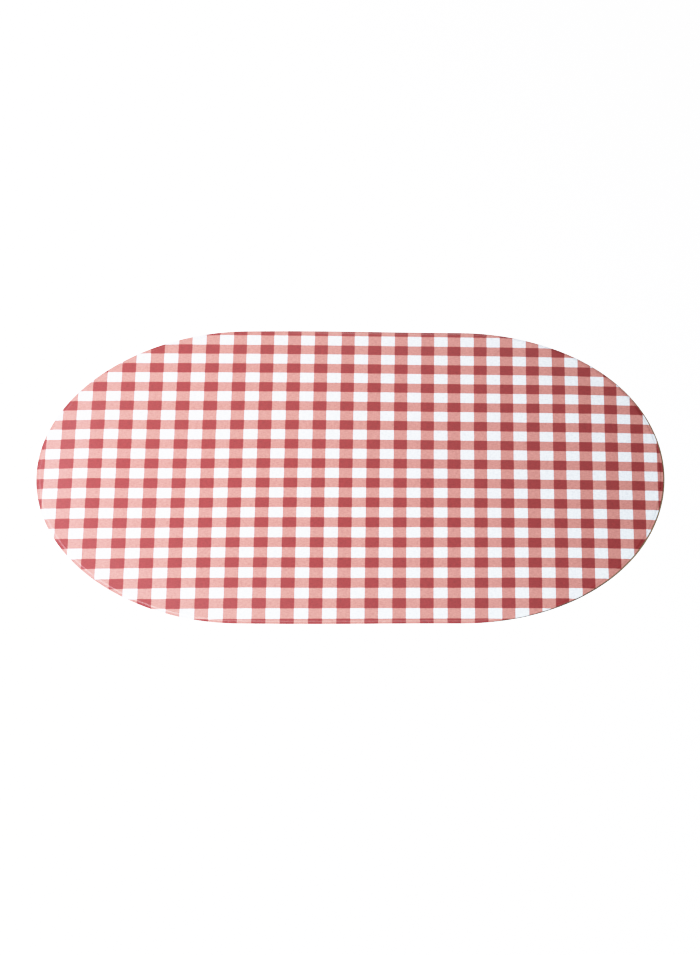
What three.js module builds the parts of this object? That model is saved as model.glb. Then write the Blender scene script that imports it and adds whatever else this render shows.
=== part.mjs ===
// Oval placemat for a dining table: two die-cut sheets bonded flat.
// The face sheet is coated cloth printed with a red and white gingham check,
// the backing sheet is plain tan coated cloth. A line is pressed into the face
// all round, just inside the edge, and the rim outside it is pressed thinner
// and rolls over. The mat lies flat with its underside on z = 0.
// Millimetres, +X along the mat, +Y across it, +Z up.

import * as THREE from 'three';

// ---- driving sizes, mm ----------------------------------------------------
// The two sheets together measure 460 by 300. The face overhangs the backing by
// 0.3 at the left end and along both sides, and stops 0.9 short of it at the
// right end, so a thin tan edge shows there.
const FACE_LENGTH = 459.1;
const FACE_WIDTH = 300;
const FACE_SHIFT_X = -0.45;
const BACKING_LENGTH = 459.7;
const BACKING_WIDTH = 299.4;
const BACKING_SHIFT_X = 0.15;
const END_STEPS = 40;        // facets round each half-circle end

// Cross-sections, walked from the edge of the flat underside, out round the
// edge, and in again to the edge of the flat top.
// inset: distance in from the sheet's own outline; z: height over the table.
const BACKING_SECTION = [
  // inset,   z
  { inset: 0.25, z: 0.00 },   // underside
  { inset: 0.00, z: 0.12 },   // lower arris
  { inset: 0.00, z: 0.30 },   // cut edge
  { inset: 0.15, z: 0.38 },   // upper arris
  { inset: 2.90, z: 0.50 },   // under the pressed line
  { inset: 4.60, z: 1.00 },   // top, under the face
];
const FACE_SECTION = [
  // inset,   z
  { inset: 3.50, z: 1.30 },   // underside, above the backing
  { inset: 2.00, z: 0.80 },   // under the pressed line
  { inset: 0.15, z: 0.68 },   // lower arris
  { inset: 0.00, z: 0.76 },   // cut edge
  { inset: 0.00, z: 1.10 },
  { inset: 0.18, z: 1.26 },   // upper arris
  { inset: 0.60, z: 1.32 },   // crown of the rim
  { inset: 1.20, z: 1.30 },   // outer lip of the pressed line
  { inset: 1.60, z: 1.16 },
  { inset: 1.90, z: 1.14 },   // floor of the pressed line
  { inset: 2.35, z: 1.55 },   // slope up to the field
  { inset: 2.80, z: 2.05 },
  { inset: 3.50, z: 2.30 },   // edge of the flat field
];

// ---- shapes ---------------------------------------------------------------

// Points of a stadium outline (two straight sides, two half-circle ends),
// anticlockwise seen from above, drawn in by the given inset.
function stadium(length, width, shiftX, inset) {
  const radius = width / 2 - inset;
  const halfStraight = (length - width) / 2;
  const points = [];
  for (const side of [1, -1]) {
    for (let i = 0; i <= END_STEPS; i += 1) {
      const angle = -Math.PI / 2 + (Math.PI * i) / END_STEPS;
      points.push(new THREE.Vector2(
        shiftX + side * (halfStraight + radius * Math.cos(angle)),
        side * radius * Math.sin(angle),
      ));
    }
  }
  return points;
}

// A closed sheet: one ring of points for each row of the section, joined ring
// to ring, with a flat cap below and a flat cap above.
function sheet(length, width, shiftX, section) {
  const positions = [];
  const index = [];
  const rings = section.map(({ inset, z }) => {
    const ring = stadium(length, width, shiftX, inset);
    const start = positions.length / 3;
    ring.forEach((p) => positions.push(p.x, p.y, z));
    return { ring, start };
  });
  const count = rings[0].ring.length;
  for (let r = 0; r + 1 < rings.length; r += 1) {
    const low = rings[r].start;
    const high = rings[r + 1].start;
    for (let i = 0; i < count; i += 1) {
      const j = (i + 1) % count;
      index.push(low + i, low + j, high + j);
      index.push(low + i, high + j, high + i);
    }
  }
  const bottom = rings[0];
  for (const [a, b, c] of THREE.ShapeUtils.triangulateShape(bottom.ring, [])) {
    index.push(bottom.start + a, bottom.start + c, bottom.start + b);
  }
  const top = rings[rings.length - 1];
  for (const [a, b, c] of THREE.ShapeUtils.triangulateShape(top.ring, [])) {
    index.push(top.start + a, top.start + b, top.start + c);
  }
  const geometry = new THREE.BufferGeometry();
  geometry.setAttribute('position', new THREE.Float32BufferAttribute(positions, 3));
  geometry.setIndex(index);
  geometry.computeVertexNormals();
  return geometry;
}

function piece(name, geometry, material) {
  const mesh = new THREE.Mesh(geometry, new THREE.MeshStandardMaterial(material));
  mesh.name = name;
  return mesh;
}

// ---- the mat --------------------------------------------------------------

const placemat = new THREE.Group();
placemat.name = 'placemat';

placemat.add(piece(
  'backing_sheet',
  sheet(BACKING_LENGTH, BACKING_WIDTH, BACKING_SHIFT_X, BACKING_SECTION),
  { color: 0xb39a86, roughness: 0.7, metalness: 0 },
));

placemat.add(piece(
  'face_sheet',
  sheet(FACE_LENGTH, FACE_WIDTH, FACE_SHIFT_X, FACE_SECTION),
  { color: 0xd98a86, roughness: 0.45, metalness: 0 },
));

export default placemat;
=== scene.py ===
import math

import bpy
import numpy as np
from mathutils import Matrix, Vector


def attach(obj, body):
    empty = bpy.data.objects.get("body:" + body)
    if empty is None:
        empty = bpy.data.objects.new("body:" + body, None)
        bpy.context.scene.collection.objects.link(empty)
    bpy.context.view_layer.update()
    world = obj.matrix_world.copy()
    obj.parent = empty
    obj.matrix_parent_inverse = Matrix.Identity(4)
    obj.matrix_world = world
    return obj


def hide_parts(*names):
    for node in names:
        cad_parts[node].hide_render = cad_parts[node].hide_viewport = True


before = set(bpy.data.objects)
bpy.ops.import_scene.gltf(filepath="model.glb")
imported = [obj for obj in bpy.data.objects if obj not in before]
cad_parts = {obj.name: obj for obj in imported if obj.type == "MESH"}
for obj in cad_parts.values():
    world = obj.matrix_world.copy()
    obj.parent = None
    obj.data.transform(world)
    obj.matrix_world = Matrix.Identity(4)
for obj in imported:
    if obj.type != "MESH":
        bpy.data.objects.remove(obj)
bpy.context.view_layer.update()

MM = 0.001

# ---- sizes, mm --------------------------------------------------------------
FACE_MM = dict(length=459.1, width=300.0, shift_x=-0.45)
BACKING_MM = dict(length=459.7, width=299.4, shift_x=0.15)
ARC_STEPS = 132          # facets round each half-circle end
STRAIGHT_STEPS = 44      # facets along each straight side

# Cross-sections, walked from the underside out round the edge and in over the
# top: inset from the sheet's outline, height over the table. The face has two
# heights: where its line is pressed sharply, and where its rim only slopes down.
FACE_UNDER = [(9.00, 0.66), (6.00, 0.66), (3.20, 0.46), (1.50, 0.36), (0.25, 0.31)]
FACE_EDGE = [(0.00, 0.35, 0.33), (0.00, 0.61, 0.42), (0.05, 0.672, 0.455),
             (0.14, 0.690, 0.475), (0.60, 0.690, 0.530), (1.20, 0.686, 0.655),
             (1.72, 0.684, 0.800), (1.84, 0.689, 0.827), (1.95, 0.711, 0.847),
             (2.35, 0.815, 0.890), (2.75, 0.919, 0.915), (2.86, 0.932, 0.921),
             (2.98, 0.935, 0.927), (3.30, 0.938, 0.938), (4.50, 0.945, 0.945),
             (6.50, 0.955, 0.955), (9.50, 0.963, 0.963), (13.0, 0.968, 0.968)]
CROWN_MM = 0.182         # how much higher still the face stands well inside its edge
LINE_SHIFT_MM = 0.30     # the pressed line sits this far to the right of the cut edge
BACKING_UNDER = [(9.00, 0.00), (0.22, 0.00)]
BACKING_EDGE = [(0.00, 0.06), (0.00, 0.20), (0.10, 0.265), (0.60, 0.280), (3.00, 0.300),
                (4.50, 0.400), (6.50, 0.590), (9.00, 0.600)]
FIELD = list(np.arange(17.0, 146.0, 3.6)) + [148.0]

# Where along the outline the rim slopes instead: distance anticlockwise from the
# foot of the right-hand end, mm, and share.
SLOPING = [(0, 0.0), (240, 0.0), (290, 0.25), (330, 1.0), (470, 1.0), (540, 0.8), (600, 0.3),
           (660, 0.0), (1263, 0.0)]

# How much more of the backing shows past the face's cut edge than the two outlines
# give, by the same distance: the face was laid a little far back, mm.
TRIM = [(0, 0.0), (12, 0.0), (28, 0.62), (97, 0.56), (162, 0.34), (225, 0.14), (288, 0.32),
        (335, 0.05), (360, 0.0), (1263, 0.0)]

# The cut outline wavers round a true stadium, mm outward: a mean, then cosine and
# sine of 1 to 6 turns a lap.
CUT = (0.024, ((-0.082, 0.090), (0.113, -0.085), (0.017, 0.105), (0.135, -0.183),
               (-0.510, 0.255), (-0.101, -0.115)))

# The mat doesn't lie dead flat: products of cosines, across by along, mm.
LIE = np.array(((0.000, 0.057, -0.114, 0.022),
                (-0.088, 0.105, -0.190, 0.228),
                (0.062, 0.186, 0.213, 0.171),
                (-0.118, -0.057, -0.288, -0.046),
                (0.029, -0.162, -0.149, 0.003),
                (0.091, 0.018, -0.071, 0.024),
                (0.050, 0.061, -0.004, -0.009)))
LIE_MM = 0.32


# ---- mesh -------------------------------------------------------------------

def stadium(length, width, shift_x, inset):
    """One ring of points, anticlockwise from the foot of the right-hand end, with
    its outward directions and its distances along the outline."""
    radius = width / 2
    half_straight = (length - width) / 2
    a = np.linspace(-math.pi / 2, math.pi / 2, ARC_STEPS + 1)
    out_arc = np.stack([np.cos(a), np.sin(a)], 1)
    right = out_arc * (radius - inset) + [half_straight, 0]
    run = np.linspace(1, -1, STRAIGHT_STEPS + 1)[1:-1] * half_straight
    top = np.stack([run, np.full_like(run, radius - inset)], 1)
    out_top = np.stack([np.zeros_like(run), np.ones_like(run)], 1)
    half, out = np.concatenate([right, top]), np.concatenate([out_arc, out_top])
    along = np.concatenate([(a + math.pi / 2) * radius,
                            math.pi * radius + half_straight - run])
    lap = math.pi * radius + 2 * half_straight
    ring = np.concatenate([half, -half])
    ring[:, 0] += shift_x
    return ring, np.concatenate([out, -out]), np.concatenate([along, along + lap]), 2 * lap


def cut_waver(along, lap):
    a = 2 * math.pi * along / lap
    mean, turns = CUT
    return mean + sum(c * np.cos(k * a) + s * np.sin(k * a)
                      for k, (c, s) in enumerate(turns, 1))


def ramp(value, low, high):
    f = np.clip((value - low) / (high - low), 0.0, 1.0)
    return f * f * (3 - 2 * f)


def rounded(points, turns=2):
    """Corner cutting, with both ends kept."""
    p = np.array(points, float)
    for _ in range(turns):
        q = np.empty((2 * (len(p) - 1), p.shape[1]))
        q[0::2] = 0.75 * p[:-1] + 0.25 * p[1:]
        q[1::2] = 0.25 * p[:-1] + 0.75 * p[1:]
        p = np.concatenate([p[:1], q, p[-1:]])
    return p


def lie(x, y):
    """How far the mat stands off the table under its field, mm: long, low waves."""
    s, t = (x / 230 + 1) * math.pi / 2, (y / 150 + 1) * math.pi / 2
    h = sum(LIE[i, j] * np.cos(i * s) * np.cos(j * t)
            for i in range(LIE.shape[0]) for j in range(LIE.shape[1]))
    return LIE_MM * (1 + np.tanh(h / LIE_MM))


def sheet_mesh(name, size, under, edge, crown=0.0, line_shift=0.0, trim=((0, 0.0), (1263, 0.0))):
    """A closed sheet: a field of rings below, the rounded edge, a field of rings above."""
    edge = rounded(edge)
    if edge.shape[1] == 2:
        edge = np.column_stack([edge, edge[:, 1]])
    rows = [(inset, under[0][1], under[0][1]) for inset in FIELD[::-1]]
    rows += [(13.0, under[0][1], under[0][1])]
    rows += [(inset, z, z) for inset, z in under]
    rows += [tuple(row) for row in edge]
    rows += [(inset, edge[-1][1], edge[-1][2]) for inset in FIELD]
    if edge[-1][0] < 13.0:
        rows.insert(len(rows) - len(FIELD), (13.0, edge[-1][1], edge[-1][2]))
    lower = len(FIELD) + 1 + len(under)
    verts, insets = [], []
    for k, (inset, z_sharp, z_sloping) in enumerate(rows):
        ring, out, along, lap = stadium(size["length"], size["width"], size["shift_x"], inset)
        shift = cut_waver(along, lap) * (1 - ramp(inset, 6.0, 70.0))
        shift -= np.interp(along, *zip(*trim)) * (1 - ramp(inset, 0.0, 1.8))
        ring = ring + out * shift[:, None]
        share = ramp(np.interp(along, *zip(*SLOPING)), 0.0, 1.0)
        height = z_sharp + share * (z_sloping - z_sharp)
        height = height + lie(ring[:, 0], ring[:, 1]) * ramp(inset, 4.0, 36.0)
        if k >= lower:
            height = height + crown * ramp(inset, 4.0, 36.0)
            ring[:, 0] += line_shift * (ramp(inset, 0.6, 1.5) - ramp(inset, 4.0, 12.0))
        verts.append(np.column_stack([ring, height]))
        insets.append(np.full(len(ring), inset))
    count = len(verts[0])
    starts = [k * count for k in range(len(rows))]
    verts = np.concatenate(verts) * MM
    i = np.arange(count)
    j = (i + 1) % count
    quads = np.concatenate([np.stack([low + i, low + j, high + j, high + i], 1)
                            for low, high in zip(starts[:-1], starts[1:])]).tolist()
    # each innermost ring is closed across, from each point to its mirror point
    n = ARC_STEPS + STRAIGHT_STEPS
    mirror = lambda k: (ARC_STEPS - k) % count
    for start, up in ((starts[0], False), (starts[-1], True)):
        for k in range(ARC_STEPS // 2, ARC_STEPS // 2 + n):
            loop = []
            for v in (k % count, (k + 1) % count, mirror(k + 1), mirror(k)):
                if v not in loop:
                    loop.append(v)
            if len(loop) < 3:
                continue
            loop = [start + v for v in loop]
            quads.append(loop if up else loop[::-1])
    mesh = bpy.data.meshes.new(name)
    mesh.from_pydata(verts.tolist(), [], quads)
    mesh.update()
    mesh.polygons.foreach_set("use_smooth", [True] * len(mesh.polygons))
    inset_of = mesh.attributes.new("inset_mm", "FLOAT", "POINT")
    inset_of.data.foreach_set("value", np.concatenate(insets).astype(np.float32))
    obj = bpy.data.objects.new(name, mesh)
    bpy.context.scene.collection.objects.link(obj)
    return obj


face = sheet_mesh("placemat_face", FACE_MM, FACE_UNDER, FACE_EDGE, CROWN_MM, LINE_SHIFT_MM, TRIM)
backing = sheet_mesh("placemat_backing", BACKING_MM, BACKING_UNDER, BACKING_EDGE)


# ---- node helpers -----------------------------------------------------------

class Net:
    """Short names for building a material's nodes."""

    def __init__(self, name):
        self.material = bpy.data.materials.new(name)
        self.material.use_nodes = True
        self.tree = self.material.node_tree
        self.tree.nodes.clear()
        self.out = self.tree.nodes.new("ShaderNodeOutputMaterial")
        self.bsdf = self.tree.nodes.new("ShaderNodeBsdfPrincipled")
        self.tree.links.new(self.bsdf.outputs[0], self.out.inputs["Surface"])

    def put(self, socket, value):
        if isinstance(value, bpy.types.NodeSocket):
            self.tree.links.new(value, socket)
        else:
            socket.default_value = value

    def math(self, operation, a, b=0.0, c=0.0, clamp=False):
        node = self.tree.nodes.new("ShaderNodeMath")
        node.operation = operation
        node.use_clamp = clamp
        for socket, value in zip(node.inputs, (a, b, c)):
            self.put(socket, value)
        return node.outputs[0]

    def add(self, a, b):
        return self.math("ADD", a, b)

    def sub(self, a, b):
        return self.math("SUBTRACT", a, b)

    def mul(self, a, b):
        return self.math("MULTIPLY", a, b)

    def mad(self, a, b, c):
        return self.math("MULTIPLY_ADD", a, b, c)

    def place(self):
        return self.tree.nodes.new("ShaderNodeTexCoord").outputs["Object"]

    def attribute(self, name):
        node = self.tree.nodes.new("ShaderNodeAttribute")
        node.attribute_type = "GEOMETRY"
        node.attribute_name = name
        return node.outputs["Fac"]

    def xyz(self, vector):
        node = self.tree.nodes.new("ShaderNodeSeparateXYZ")
        self.tree.links.new(vector, node.inputs[0])
        return node.outputs

    def noise(self, vector, scale, detail=2.0, rough=0.5, offset=None):
        if offset is not None:
            shift = self.tree.nodes.new("ShaderNodeVectorMath")
            shift.operation = "ADD"
            self.tree.links.new(vector, shift.inputs[0])
            shift.inputs[1].default_value = offset
            vector = shift.outputs[0]
        node = self.tree.nodes.new("ShaderNodeTexNoise")
        self.tree.links.new(vector, node.inputs["Vector"])
        node.inputs["Scale"].default_value = scale
        node.inputs["Detail"].default_value = detail
        node.inputs["Roughness"].default_value = rough
        return node.outputs["Fac"]

    def stretch(self, vector, factors):
        node = self.tree.nodes.new("ShaderNodeVectorMath")
        node.operation = "MULTIPLY"
        self.tree.links.new(vector, node.inputs[0])
        node.inputs[1].default_value = factors
        return node.outputs[0]

    def cells(self, vector, scale, feature="SMOOTH_F1", smooth=0.6):
        node = self.tree.nodes.new("ShaderNodeTexVoronoi")
        node.feature = feature
        self.tree.links.new(vector, node.inputs["Vector"])
        node.inputs["Scale"].default_value = scale
        if feature == "SMOOTH_F1":
            node.inputs["Smoothness"].default_value = smooth
        return node.outputs["Distance"]

    def ease(self, value, low, high, out_low=0.0, out_high=1.0, smooth=True):
        node = self.tree.nodes.new("ShaderNodeMapRange")
        node.interpolation_type = "SMOOTHSTEP" if smooth else "LINEAR"
        node.clamp = True
        self.put(node.inputs["Value"], value)
        node.inputs["From Min"].default_value = low
        node.inputs["From Max"].default_value = high
        node.inputs["To Min"].default_value = out_low
        node.inputs["To Max"].default_value = out_high
        return node.outputs["Result"]

    def mix(self, factor, a, b, kind="MIX"):
        node = self.tree.nodes.new("ShaderNodeMix")
        node.data_type = "RGBA"
        node.blend_type = kind
        self.put(node.inputs["Factor"], factor)
        for socket, value in ((node.inputs[6], a), (node.inputs[7], b)):
            if isinstance(value, tuple):
                value = (*value, 1.0)
            self.put(socket, value)
        return node.outputs[2]

    def shade(self, colour, factor):
        """Colour times a number."""
        node = self.tree.nodes.new("ShaderNodeVectorMath")
        node.operation = "SCALE"
        self.put(node.inputs[0], colour)
        self.put(node.inputs["Scale"], factor)
        return node.outputs[0]

    def bump(self, height, distance, strength=1.0, normal=None):
        node = self.tree.nodes.new("ShaderNodeBump")
        node.inputs["Strength"].default_value = strength
        node.inputs["Distance"].default_value = distance
        self.put(node.inputs["Height"], height)
        if normal is not None:
            self.tree.links.new(normal, node.inputs["Normal"])
        return node.outputs["Normal"]


# ---- the printed face -------------------------------------------------------

WHITE = (0.830, 0.860, 0.920)
PINK = (0.5144, 0.2001, 0.1689)
RED = (0.2454, 0.0254, 0.0258)

CHECK_U = ((-0.1044, -0.0413, -0.0137, -0.0032),
           (22.9988, -0.0137, 0.0063),
           (0.6694, -0.0544),
           (0.0709,))
CHECK_V = ((-0.5161, -14.9966, -0.1147, 0.0206, 0.1172),
           (-0.0708, -0.2868, 0.0018, 0.0652),
           (-0.2112, -0.0202, 0.1201),
           (0.0032, -0.0163),
           (0.0382,))
CHECK_MM = 10.03
SOFT_MM = 0.16           # the ink's edge


def printed_face():
    net = Net("printed_face")
    place = net.place()
    x, y, _ = net.xyz(place)

    # the ink's edge wavers a little
    wander = net.noise(place, 420.0, 2.0)
    wander_2 = net.noise(place, 420.0, 2.0, offset=(3.1, 7.7, 1.3))
    px = net.mad(net.sub(wander, 0.5), 0.00016, x)
    py = net.mad(net.sub(wander_2, 0.5), 0.00016, y)

    s = net.mul(px, 1 / 0.230)
    t = net.mul(py, 1 / 0.150)

    def count(table):
        total = None
        for row in reversed(table):
            value = row[-1]
            for k in reversed(row[:-1]):
                value = net.mad(t, value, k)
            total = value if total is None else net.mad(total, s, value)
        return total

    u, v = count(CHECK_U), count(CHECK_V)

    def stripe(value, phase):
        """1 on the coloured stripes, 0 between, from a count of checks."""
        saw = net.math("FRACT", net.mad(value, 0.5, phase))
        depth = net.sub(0.25, net.math("ABSOLUTE", net.sub(saw, 0.5)))
        return net.math("MULTIPLY_ADD", depth, 2 * CHECK_MM / SOFT_MM, 0.5, clamp=True)

    column = stripe(u, -0.25)
    row = stripe(v, 0.25)
    both = net.mul(column, row)
    either = net.math("MAXIMUM", column, row)

    colour = net.mix(either, WHITE, PINK)
    colour = net.mix(both, colour, RED)

    # ink and coating aren't dead even: broad clouding and a fine fleck
    cloud = net.noise(place, 38.0, 3.0, 0.55)
    fleck = net.noise(place, 2600.0, 2.0, 0.6, offset=(1.7, 0.4, 2.9))
    tone = net.mad(net.sub(cloud, 0.5), 0.060, 1.0)
    tone = net.add(tone, net.mul(net.sub(fleck, 0.5), 0.050))

    # the cloth's threads show faintly through the coating, most of them along the mat
    threads = net.noise(net.stretch(place, (380.0, 1250.0, 1.0)), 1.0, 2.0, 0.55)
    crossing = net.noise(net.stretch(place, (1250.0, 380.0, 1.0)), 1.0, 2.0, 0.55, offset=(9.1, 3.3, 0.6))
    weave = net.mad(net.sub(threads, 0.5), 0.78, net.mul(net.sub(crossing, 0.5), 0.42))
    tone = net.add(tone, weave)

    # the pressed line is glossier
    inset = net.attribute("inset_mm")
    line = net.mul(net.ease(inset, 1.5, 1.9), net.ease(inset, 3.3, 2.9))
    colour = net.shade(colour, tone)
    net.put(net.bsdf.inputs["Base Color"], colour)

    # fine pebbled grain of the coating
    pebble = net.cells(place, 1500.0, "SMOOTH_F1", 0.75)
    crease = net.noise(place, 900.0, 3.0, 0.6, offset=(5.2, 2.2, 0.7))
    height = net.mad(pebble, -0.65, net.mul(crease, 0.35))
    height = net.add(height, net.mad(threads, 0.90, net.mul(crossing, 0.50)))
    flat = net.mad(line, -0.6, 1.0)
    height = net.mul(height, flat)
    normal = net.bump(height, 0.000030, 0.75)
    net.put(net.bsdf.inputs["Normal"], normal)

    gloss = net.noise(place, 60.0, 3.0, 0.6, offset=(0.9, 4.4, 1.1))
    rough = net.mad(net.sub(gloss, 0.5), 0.08, 0.415)
    rough = net.mad(line, -0.13, rough)
    net.put(net.bsdf.inputs["Roughness"], rough)
    net.bsdf.inputs["Metallic"].default_value = 0.0
    net.bsdf.inputs["IOR"].default_value = 1.48
    net.bsdf.inputs["Specular IOR Level"].default_value = 0.5
    return net.material


# ---- the tan backing --------------------------------------------------------

def tan_backing():
    net = Net("tan_backing")
    place = net.place()
    cloud = net.noise(place, 45.0, 3.0, 0.6)
    fleck = net.noise(place, 1900.0, 3.0, 0.65, offset=(2.2, 6.1, 0.3))
    base = net.mix(net.ease(cloud, 0.35, 0.65), (0.235, 0.140, 0.068), (0.270, 0.166, 0.084))
    # the cut edge shows a darker core with painted shade over it, and along the front it is greyed with
    # painted shade
    core_and_shade = (0.060, 0.052, 0.046)
    _, y, _ = net.xyz(place)
    # painted shade: towards the front the ledge and edge are darkened towards the dark colour
    front_shade = net.mul(net.ease(y, -0.085, -0.125), net.ease(net.attribute("inset_mm"), 3.0, 2.0))
    base = net.mix(net.mul(front_shade, 0.62), base, core_and_shade)
    # painted shade with the core: the edge's wall and arris take the dark colour
    base = net.mix(net.ease(net.attribute("inset_mm"), 0.12, 0.22), core_and_shade, base)
    tone = net.mad(net.sub(fleck, 0.5), 0.22, 1.0)
    net.put(net.bsdf.inputs["Base Color"], net.shade(base, tone))
    grain = net.cells(place, 1150.0, "SMOOTH_F1", 0.5)
    fibre = net.noise(place, 2400.0, 3.0, 0.6, offset=(0.2, 1.9, 8.3))
    height = net.mad(grain, -0.6, net.mul(fibre, 0.4))
    net.put(net.bsdf.inputs["Normal"], net.bump(height, 0.000040, 0.8))
    rough = net.mad(net.sub(fleck, 0.5), 0.16, 0.66)
    net.put(net.bsdf.inputs["Roughness"], rough)
    net.bsdf.inputs["Metallic"].default_value = 0.0
    net.bsdf.inputs["IOR"].default_value = 1.46
    return net.material


face.data.materials.append(printed_face())
backing.data.materials.append(tan_backing())

for piece, node, slot, size in ((face, "face_sheet", "printed_face", FACE_MM),
                                (backing, "backing_sheet", "tan_backing", BACKING_MM)):
    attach(piece, "root")
    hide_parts(node)


# ---- floor, backdrop and light ---------------------------------------------

def plain(name, colour, emission, roughness=0.9):
    material = bpy.data.materials.new(name)
    material.use_nodes = True
    bsdf = material.node_tree.nodes["Principled BSDF"]
    bsdf.inputs["Base Color"].default_value = (*colour, 1.0)
    bsdf.inputs["Roughness"].default_value = roughness
    bsdf.inputs["Specular IOR Level"].default_value = 0.0
    bsdf.inputs["Emission Color"].default_value = (1.0, 1.0, 1.0, 1.0)
    bsdf.inputs["Emission Strength"].default_value = emission
    return material


def ring_mesh(name, rows, count=96):
    """A surface turned round Z from (radius, height) rows."""
    verts = [(r * math.cos(2 * math.pi * k / count), r * math.sin(2 * math.pi * k / count), z)
             for r, z in rows for k in range(count)]
    faces = [(a * count + k, a * count + (k + 1) % count,
              (a + 1) * count + (k + 1) % count, (a + 1) * count + k)
             for a in range(len(rows) - 1) for k in range(count)]
    mesh = bpy.data.meshes.new(name)
    mesh.from_pydata(verts, [], faces)
    mesh.update()
    mesh.polygons.foreach_set("use_smooth", [True] * len(mesh.polygons))
    obj = bpy.data.objects.new(name, mesh)
    bpy.context.scene.collection.objects.link(obj)
    return obj


floor = ring_mesh("floor", [(0.01, 0.0), (0.5, 0.0), (2.0, 0.0), (8.0, 0.0)])
floor.data.polygons.foreach_set("use_smooth", [False] * len(floor.data.polygons))
cap = bpy.data.meshes.new("floor_middle")
cap.from_pydata([tuple(floor.data.vertices[k].co) for k in range(96)], [], [list(range(96))])
cap.update()
middle = bpy.data.objects.new("floor_middle", cap)
bpy.context.scene.collection.objects.link(middle)
floor_white = plain("floor_white", (0.50, 0.50, 0.50), 1.65)
for obj in (floor, middle):
    obj.data.materials.append(floor_white)
    obj.visible_glossy = False

backdrop = ring_mesh("backdrop", [(12.0, -3.0), (12.0, 5.0), (10.5, 8.5), (7.0, 11.0), (0.02, 12.0)])
backdrop.data.materials.append(plain("backdrop_white", (0.0, 0.0, 0.0), 2.6))
backdrop.visible_diffuse = False
backdrop.visible_glossy = False
backdrop.visible_shadow = False
backdrop.visible_transmission = False
backdrop.visible_volume_scatter = False


def softbox(name, centre, wide, tall, turn, radiance):
    """A flat light of even radiance. Unturned it faces down; turned a quarter about
    X it stands upright and faces +Y."""
    top = max(radiance)
    light = bpy.data.lights.new(name, "AREA")
    light.shape = "RECTANGLE"
    light.size, light.size_y = wide, tall
    light.energy = top * math.pi * wide * tall
    light.color = tuple(c / top for c in radiance)
    obj = bpy.data.objects.new(name, light)
    obj.location = centre
    obj.rotation_euler = (turn, 0.0, 0.0)
    bpy.context.scene.collection.objects.link(obj)
    obj.visible_camera = False
    return obj


softbox("box_above", (-0.270, 0.090, 0.60), 0.34, 0.14, 0.0, (14.22, 14.58, 15.47))
softbox("strip_left", (-0.505, -0.150, 0.60), 0.21, 2.62, 0.0, (9.46, 8.00, 9.13))
softbox("box_right", (0.020, -0.940, 0.60), 0.24, 2.12, 0.0, (3.11, 4.37, 4.60))
softbox("box_back", (-0.140, 1.225, 0.60), 0.60, 0.31, 0.0, (7.27, 8.13, 7.80))
softbox("front_left", (-0.950, -1.600, 0.45), 1.10, 0.30, math.pi / 2, (41.63, 45.89, 47.69))

world = bpy.data.worlds.new("studio")
world.use_nodes = True
world.node_tree.nodes["Background"].inputs["Color"].default_value = (1.0, 1.0, 1.0, 1.0)
world.node_tree.nodes["Background"].inputs["Strength"].default_value = 0.05
bpy.context.scene.world = world


# ---- camera -----------------------------------------------------------------

AZIMUTH, ELEVATION, ROLL = math.radians(0.89788), math.radians(45.30347), math.radians(-0.51329)
TARGET = Vector((-0.76116, -3.12517, 0.0)) * MM
DISTANCE = 3.91529
back = Vector((math.sin(AZIMUTH) * math.cos(ELEVATION),
               -math.cos(AZIMUTH) * math.cos(ELEVATION), math.sin(ELEVATION)))
right = (-back).cross(Vector((0, 0, 1))).normalized()
up = right.cross(-back)
right_r = math.cos(ROLL) * right + math.sin(ROLL) * up
up_r = -math.sin(ROLL) * right + math.cos(ROLL) * up
camera_data = bpy.data.cameras.new("camera")
camera_data.sensor_fit = "AUTO"
camera_data.sensor_width = 36.0
camera_data.lens = 5353.0 * 36.0 / 955.0
camera_data.clip_end = 60.0
camera = bpy.data.objects.new("camera", camera_data)
camera.matrix_world = Matrix((
    (right_r.x, up_r.x, back.x, TARGET.x + back.x * DISTANCE),
    (right_r.y, up_r.y, back.y, TARGET.y + back.y * DISTANCE),
    (right_r.z, up_r.z, back.z, TARGET.z + back.z * DISTANCE),
    (0, 0, 0, 1)))
bpy.context.scene.collection.objects.link(camera)
bpy.context.scene.camera = camera

# ---- tone: highlights roll off as in a bright product photo -----------------
settings = bpy.context.scene.view_settings
settings.view_transform = "Standard"
settings.look = "None"
settings.use_curve_mapping = True
mapping = settings.curve_mapping
TOP = 2.5
mapping.white_level = (TOP, TOP, TOP)
curve = mapping.curves[3]
curve.points[0].location = (0.0, 0.0)
curve.points[1].location = (1.0, 1.0)
for value, shown in ((0.35, 0.35), (0.55, 0.55), (0.75, 0.691), (0.95, 0.798), (1.2, 0.887),
                     (1.6, 0.962), (2.2, 0.995)):
    curve.points.new(value / TOP, shown)
for point in curve.points:
    point.handle_type = "AUTO"
curve.points[0].handle_type = "VECTOR"
mapping.update()
